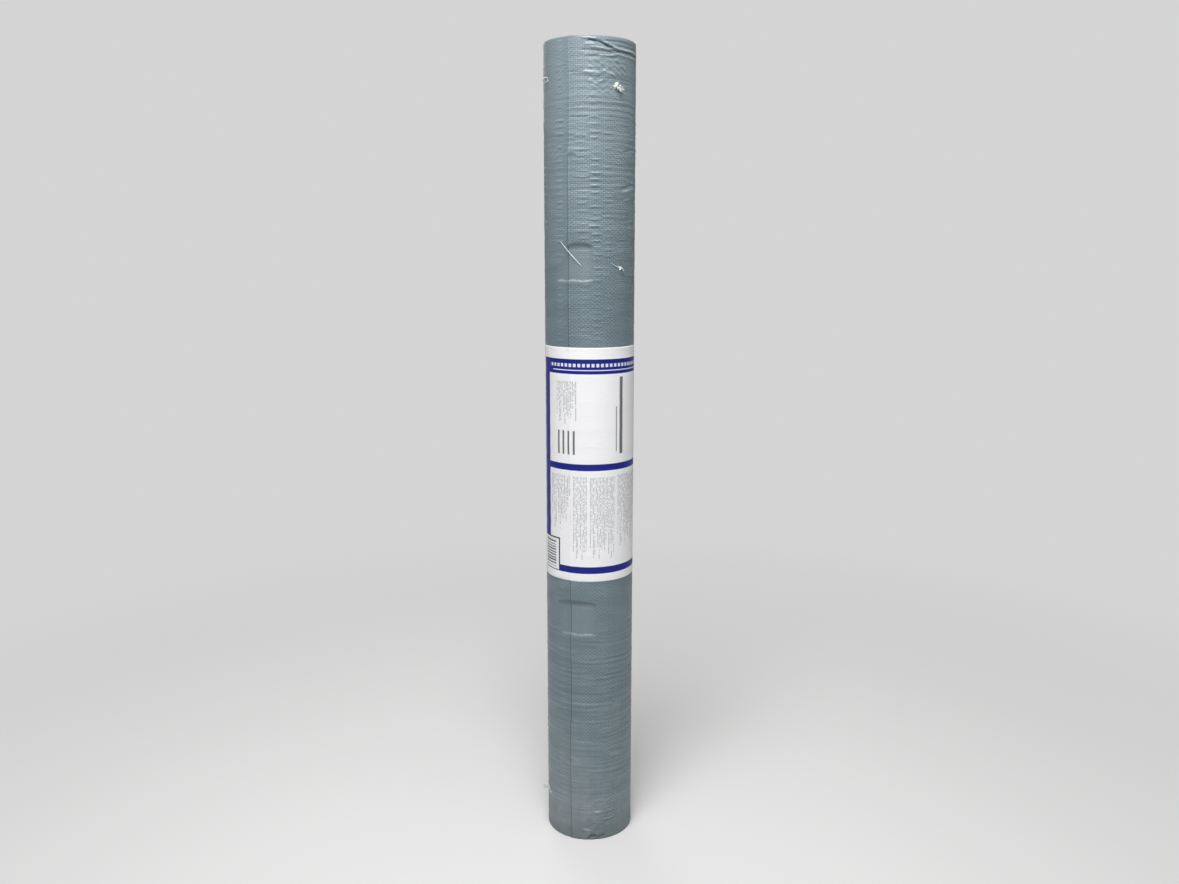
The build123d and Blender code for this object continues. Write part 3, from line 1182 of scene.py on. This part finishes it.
def sheet_material():
    """Blue-grey film over woven tapes, with a painted highlight on its ridges, and dirty towards the floor.

    The film is painted lighter towards the top, as light from above makes it, lighter and pinker at
    the lower left, and darker at the foot, partly damp and partly painted shade near the floor.
    Painted highlights and shade on the folds and strap dents, painted shade beside and under the free
    end, and a painted highlight along its cut edge lie over it.
    """
    finish, roll = bpy.context.scene.finish, bpy.context.scene.roll
    material, tree, shader = new_material("Coated weave")
    crest, coarse, glint, gap, hem = (
        attribute(tree, name) for name in ("crest", "coarse", "glint", "gap", "hem"))
    where = object_place(tree)
    aside, _, level = split(where)
    weave = grouped(tree, "Woven tapes", weave_group, {
        "Place": flat_place(tree), "Upright": roll.tape_width, "Level": roll.tape_height})
    dirt = grouped(tree, "Yard dirt", dirt_group, {"Amount": 0.25, "Foot": 0.30})
    grain = noise(where, 420.0, 3.0)
    # Painted light from above: the film is lighter towards the top.
    painted_top_light = ramp(level, 0.86, 1.14)
    # The film's lightness: tape tone and weave, a painted highlight on the ridges' crests, cloud, grain and
    # the painted light towards the top.
    light = weave["Shade"] * 0.13 + weave["On top"] * coarse * 0.36 + crest * 0.55
    light = light + dirt["Cloud"] * 0.55 + grain * 0.3 + painted_top_light * 0.15
    base = np.array(finish.sheet_colour)
    film = mix(base * 0.80, base * 1.28, (light - 0.28).clamped())
    film = layered(film, (
        # Painted light from above: a paler blue towards the top.
        ((0.335, 0.405, 0.43), painted_top_light * 0.30),
        (base * 0.62, weave["Gap"] * 0.22),
        (finish.dirt_colour, dirt["Mask"] * 0.7),
        # Lighter and pinker at the lower left.
        ((0.42, 0.40, 0.44), ramp(level, 0.22, 0.03) * ramp(aside, 0.03, -0.025) * 0.16),
        # Darker at the foot: partly damp, and partly painted shade near the floor.
        ((0.10, 0.125, 0.12), ramp(level, 0.05, 0.0) * 0.6),
        # Painted highlights along the sharpest folds and the dents' creases, and painted shade in the
        # deepest folds and above the dents.
        ((0.58, 0.64, 0.65), (glint * 0.6).clamped()),
        (base * 0.25, (glint * -0.8).clamped()),
        # Painted shade beside the free end, and a painted shadow line under its edge that fades towards the
        # top.
        (base * 0.6, ramp(gap, -14 * MM, 0.0) * 0.25),
        (base * 0.12, ramp(gap, -1.9 * MM, -0.3 * MM) * (ramp(level, 1.17, 1.045) * 0.85)),
        # A painted highlight along the free end's cut edge towards the top, where it catches the light.
        ((0.6, 0.64, 0.65), (hem < 1.1 * MM) * ramp(level, 0.96, 1.02) * 0.15),
    ))
    feed(shader, {
        "Base Color": film,
        "Roughness": dirt["Mask"] * 0.28 + grain * 0.16 - crest * 0.16 + 0.36,
        "Normal": bump(grain * 0.25 + weave["Height"], coarse, 0.26 * MM),
        "IOR": 1.49,
    })
    return material


def torn_tape_material():
    """White film of torn tapes, a little grey and dirty."""
    material, tree, shader = new_material("Torn white tape")
    streak = noise(object_place(tree), 700.0, 3.0)
    dirt = grouped(tree, "Yard dirt", dirt_group, {"Amount": 0.5, "Foot": 0.1})
    white = mix((0.81, 0.84, 0.82), (0.54, 0.59, 0.56), streak)
    feed(shader, {
        "Base Color": layered(white, [(bpy.context.scene.finish.dirt_colour, dirt["Mask"] * 0.4)]),
        "Roughness": streak * 0.3 + 0.25,
        "Normal": bump(streak, 0.5, 0.1 * MM),
    })
    return material


def thread_material():
    """Beige-grey frayed thread."""
    material, tree, shader = new_material("Frayed thread")
    streak = noise(object_place(tree), 900.0, 2.0)
    feed(shader, {
        "Base Color": mix((0.60, 0.53, 0.47), (0.42, 0.38, 0.34), streak),
        "Roughness": 0.6,
    })
    return material


def turn_edge_material():
    """Cut edges of the turns: fine lines that wind inwards, some darker where a gap opens.

    Each line's shade is random, and runs evenly to the next line's over the turn. The bore's wall
    is the plain face of the first turn. The flat map holds the share of the turn and the radius.
    """
    material, tree, shader = new_material("Cut turn edges")
    gone, radius, _ = split(flat_place(tree))
    number = radius / EDGE_LINE_PITCH - gone
    line = calc("FLOOR", number)
    here, following = chance(line), chance(line + 1.0)
    shade = (following - here) * gone + here
    gap = ((calc("ABSOLUTE", calc("FRACT", number) - 0.5) - 0.36) * 7.0).clamped()
    cloud = noise(object_place(tree), 60.0, 5.0)
    wall = attribute(tree, "wall")
    base = np.array(bpy.context.scene.finish.sheet_colour)
    edges = mix(base * 0.6, base * 1.25, (shade * 0.7 + (cloud - 0.35)).clamped())
    edges = layered(edges, [(base * 0.18, gap * 0.7)])
    feed(shader, {
        "Base Color": mix(edges, mix(base * 0.7, base * 1.05, cloud), wall),
        "Roughness": cloud * 0.3 + 0.42,
        "Normal": bump((shade * 0.6 - gap) * (1.0 - wall), 0.8, 0.12 * MM),
    })
    return material


def label_material():
    """White paper with a blue frame, thin navy lines, plain bars and broken grey rulings."""
    finish, label = bpy.context.scene.finish, bpy.context.scene.label
    material, tree, shader = new_material("Printed label")
    across, up, _ = split(flat_place(tree))
    margin, band = label.margin, label.band
    width, tall = LABEL_WIDTH, LABEL_HEIGHT

    def bar(left, right, bottom, top):
        """1 inside a rectangle, given in metres from the label's lower left corner."""
        return grouped(tree, "Printed bar", bar_group, {
            "Across": across, "Up": up,
            "Left": left, "Right": right, "Bottom": bottom, "Top": top})["Ink"]

    def ruled(left, right, bottom, top, spacing, shortest):
        """Broken upright rulings that hang from a block's top, each of its own random length."""
        place_on = (across - left) / spacing
        number = calc("FLOOR", place_on)
        longest = top - bottom
        reach = chance(number) * (longest * (1 - shortest)) + longest * shortest
        drawn = (calc("FRACT", place_on) < 0.42) * (top - up < reach)
        kept = chance(number, calc("FLOOR", up / (1.5 * MM))) > 0.26
        return drawn * kept * bar(left, right, bottom, top)

    inner_left, inner_right = margin + band - 3 * MM, width - margin - band + 3 * MM
    header = tall - margin - band
    divider, divider_top = 172 * MM, 182 * MM
    foot, foot_top = 12.5 * MM, 23 * MM
    box_right, box_top = 59.5 * MM, 65 * MM
    line = 1.4 * MM
    blue = either(
        bar(margin, width - margin, header, tall - margin),
        bar(margin, inner_left, box_top, header),
        bar(inner_right, width - margin, foot, header),
        bar(inner_left, inner_right, divider, divider_top),
        bar(box_right, inner_right, foot, foot_top),
    )
    navy = either(
        bar(margin, width - margin, tall - margin - line, tall - margin),
        bar(inner_left, inner_right, divider_top - line, divider_top),
        bar(box_right, inner_right, foot_top - line, foot_top),
        bar(margin, box_right, box_top - 1.6 * line, box_top),
        bar(box_right - 1.8 * line, box_right, foot, box_top),
        bar(margin, box_right, foot, foot + line),
    )
    grey = either(*(
        ruled(*(side * MM for side in sides), spacing * MM, shortest)
        for *sides, spacing, shortest in LABEL_RULINGS))
    row = up / (4.3 * MM)
    box_stripes = calc("FRACT", row) < chance(calc("FLOOR", row)) * 0.45 + 0.25
    dark = either(
        *(bar(*(side * MM for side in sides)) for sides in LABEL_BARS),
        bar(margin + 5 * MM, box_right - 8.5 * MM, foot + 5 * MM, box_top - 6 * MM) * box_stripes,
    )
    left_out = either(
        bar(inner_left + 3 * MM, inner_right - 4 * MM, header + 10.5 * MM, header + 15.5 * MM)
        * (calc("FRACT", across / (7.0 * MM)) < 0.62),
        bar(inner_left + 10 * MM, inner_right - 20 * MM, header + 5.0 * MM, header + 6.4 * MM),
    )
    grain = noise(object_place(tree), 900.0, 3.0)
    stain = grouped(tree, "Yard dirt", dirt_group, {"Amount": 0.25, "Foot": 0.1})["Mask"]
    paper = np.array(finish.paper_colour)
    printed = layered(mix(paper, paper * 0.8, grain * 0.10), (
        ((0.16, 0.17, 0.18), grey * 0.7),
        ((0.03, 0.033, 0.04), dark * 0.85),
        (finish.blue_ink, blue),
        (finish.navy_ink, navy),
        (paper, left_out * 0.85),
        (finish.dirt_colour, stain * 0.12),
    ))
    feed(shader, {
        "Base Color": printed,
        "Roughness": grain * 0.1 - either(blue, navy) * 0.12 + 0.52,
        "Normal": bump(grain, 0.25, 0.03 * MM),
        "Specular IOR Level": 0.25,
    })
    return material


# The stage

PICTURE_WIDTH, PICTURE_HEIGHT = 1179, 884
SENSOR_WIDTH = 36.0
AIM = Vector((0, 0, 0.6))       # the middle of the roll, which the lamps face


class UNDERLAYMENT_OT_stage(bpy.types.Operator):
    """Set the floor, the lamps and the camera"""

    bl_idname = "underlayment.stage"
    bl_label = "Stage"

    def execute(self, context):
        make_floor()
        make_sky()
        stage = context.scene.stage
        add_lamp("key_lamp", (-0.14, -0.85, 2.75), 0.9, stage.key_power)
        add_lamp("front_lamp", (-0.35, -2.9, 1.6), 1.1, stage.front_power)
        add_lamp("side_lamp", (1.7, -1.1, 2.7), 1.2, stage.side_power)
        add_lamp("back_lamp", (-0.7, 2.5, 2.2), 1.4, stage.back_power)
        add_camera(stage)
        context.scene.view_settings.view_transform = "Standard"
        return {"FINISHED"}


def seen_by(tree, *rays):
    """1 for light paths of the given kinds, 0 for the rest."""
    path = node(tree, "ShaderNodeLightPath")
    return either(*(Signal(path.outputs[ray]) for ray in rays))


def mixed_shader(share, first, second):
    """The first shader with a share of the second."""
    sockets = {0: share, 1: Signal(first.outputs[0]), 2: Signal(second.outputs[0])}
    return Signal(node(share.tree, "ShaderNodeMixShader", sockets).outputs[0])


def make_floor():
    """A pale round floor whose far part fades into the backdrop for the camera."""
    angle = np.linspace(0, FULL_TURN, 64, endpoint=False)[None, :]
    rings = np.array([14.0, 2.0, 0.5, 0.0])[:, None]
    points = place(angle, rings, np.zeros_like(rings))
    floor = grid_piece("floor", points, np.zeros((len(rings), angle.size + 1, 2)), closed=True)
    material, tree, shader = new_material("Pale floor")
    feed(shader, {"Base Color": (0.74, 0.74, 0.735, 1), "Roughness": 0.85})
    away = node(tree, "ShaderNodeVectorMath", {0: object_place(tree)}, operation="LENGTH")
    far = ramp(Signal(away.outputs["Value"]), 0.35, 1.9, interpolation_type="SMOOTHSTEP")
    glow = node(tree, "ShaderNodeEmission", {"Color": colour(bpy.context.scene.stage.backdrop)})
    shown = far * seen_by(tree, "Is Camera Ray", "Is Glossy Ray")
    out = next(made for made in tree.nodes if made.type == "OUTPUT_MATERIAL")
    feed(out, {"Surface": mixed_shader(shown, shader, glow)})
    floor.data.materials.append(material)


def make_sky():
    """Even pale light from all round, and the backdrop's colour for what the camera sees."""
    stage = bpy.context.scene.stage
    world = bpy.data.worlds.new("Studio")
    bpy.context.scene.world = world
    world.use_nodes = True
    tree = world.node_tree
    tree.nodes.clear()
    even = node(tree, "ShaderNodeBackground", {"Color": (1, 1, 1, 1), "Strength": stage.sky_strength})
    shown = node(tree, "ShaderNodeBackground", {"Color": colour(stage.backdrop), "Strength": 1.0})
    looked_at = seen_by(tree, "Is Camera Ray", "Is Transmission Ray")
    node(tree, "ShaderNodeOutputWorld", {"Surface": mixed_shader(looked_at, even, shown)})


def add_lamp(name, spot, size, power):
    """A square soft lamp at a spot, turned to the aim."""
    data = bpy.data.lights.new(name, "AREA")
    data.shape = "SQUARE"
    data.size = size
    data.energy = power
    lamp = bpy.data.objects.new(name, data)
    bpy.context.scene.collection.objects.link(lamp)
    lamp.location = spot
    lamp.rotation_euler = (AIM - Vector(spot)).to_track_quat("-Z", "Y").to_euler()


def add_camera(settings):
    """The photograph's eye point, turned to the roll, with a lens that the roll fills."""
    data = bpy.data.cameras.new("camera")
    data.sensor_width = SENSOR_WIDTH
    camera = bpy.data.objects.new("camera", data)
    bpy.context.scene.collection.objects.link(camera)
    top = math.atan2(ROLL_LENGTH - settings.eye_height, settings.eye_distance)
    bottom = math.atan2(-settings.eye_height, settings.eye_distance - WOUND_RADIUS)
    pitch, half = (top + bottom) / 2, (top - bottom) / 2
    half_sensor = SENSOR_WIDTH / 2 * PICTURE_HEIGHT / PICTURE_WIDTH
    data.lens = half_sensor * settings.fill / math.tan(half)
    camera.location = (0, -settings.eye_distance, settings.eye_height)
    camera.rotation_euler = (math.pi / 2 + pitch, 0, 0)
    bpy.context.scene.camera = camera


class UNDERLAYMENT_PT_panel(bpy.types.Panel):
    """The roll's parts and their sizes"""

    bl_label = "Underlayment roll"
    bl_idname = "UNDERLAYMENT_PT_panel"
    bl_space_type = "VIEW_3D"
    bl_region_type = "UI"
    bl_category = "Underlayment"

    def draw(self, context):
        for operator in OPERATORS:
            self.layout.operator(operator.bl_idname)
        for key in SETTINGS:
            group = getattr(context.scene, key)
            box = self.layout.box()
            for name in group.__annotations__:
                box.prop(group, name)


SETTINGS = {"roll": RollSettings, "label": LabelSettings, "finish": FinishSettings, "stage": StageSettings}
OPERATORS = (
    UNDERLAYMENT_OT_last_turn,
    UNDERLAYMENT_OT_wound_turns,
    UNDERLAYMENT_OT_label,
    UNDERLAYMENT_OT_torn_tapes,
    UNDERLAYMENT_OT_stage,
)


def register():
    """Registers the settings, the operators and the panel."""
    for cls in (*SETTINGS.values(), *OPERATORS, UNDERLAYMENT_PT_panel):
        bpy.utils.register_class(cls)
    for key, cls in SETTINGS.items():
        setattr(bpy.types.Scene, key, PointerProperty(type=cls))


def unregister():
    """Takes everything out again, last first."""
    for key in SETTINGS:
        delattr(bpy.types.Scene, key)
    for cls in reversed((*SETTINGS.values(), *OPERATORS, UNDERLAYMENT_PT_panel)):
        bpy.utils.unregister_class(cls)


def main():
    """Builds every piece and the stage."""
    register()
    for operator in OPERATORS:
        category, name = operator.bl_idname.split(".")
        getattr(getattr(bpy.ops, category), name)()


if __name__ == "__main__":
    main()
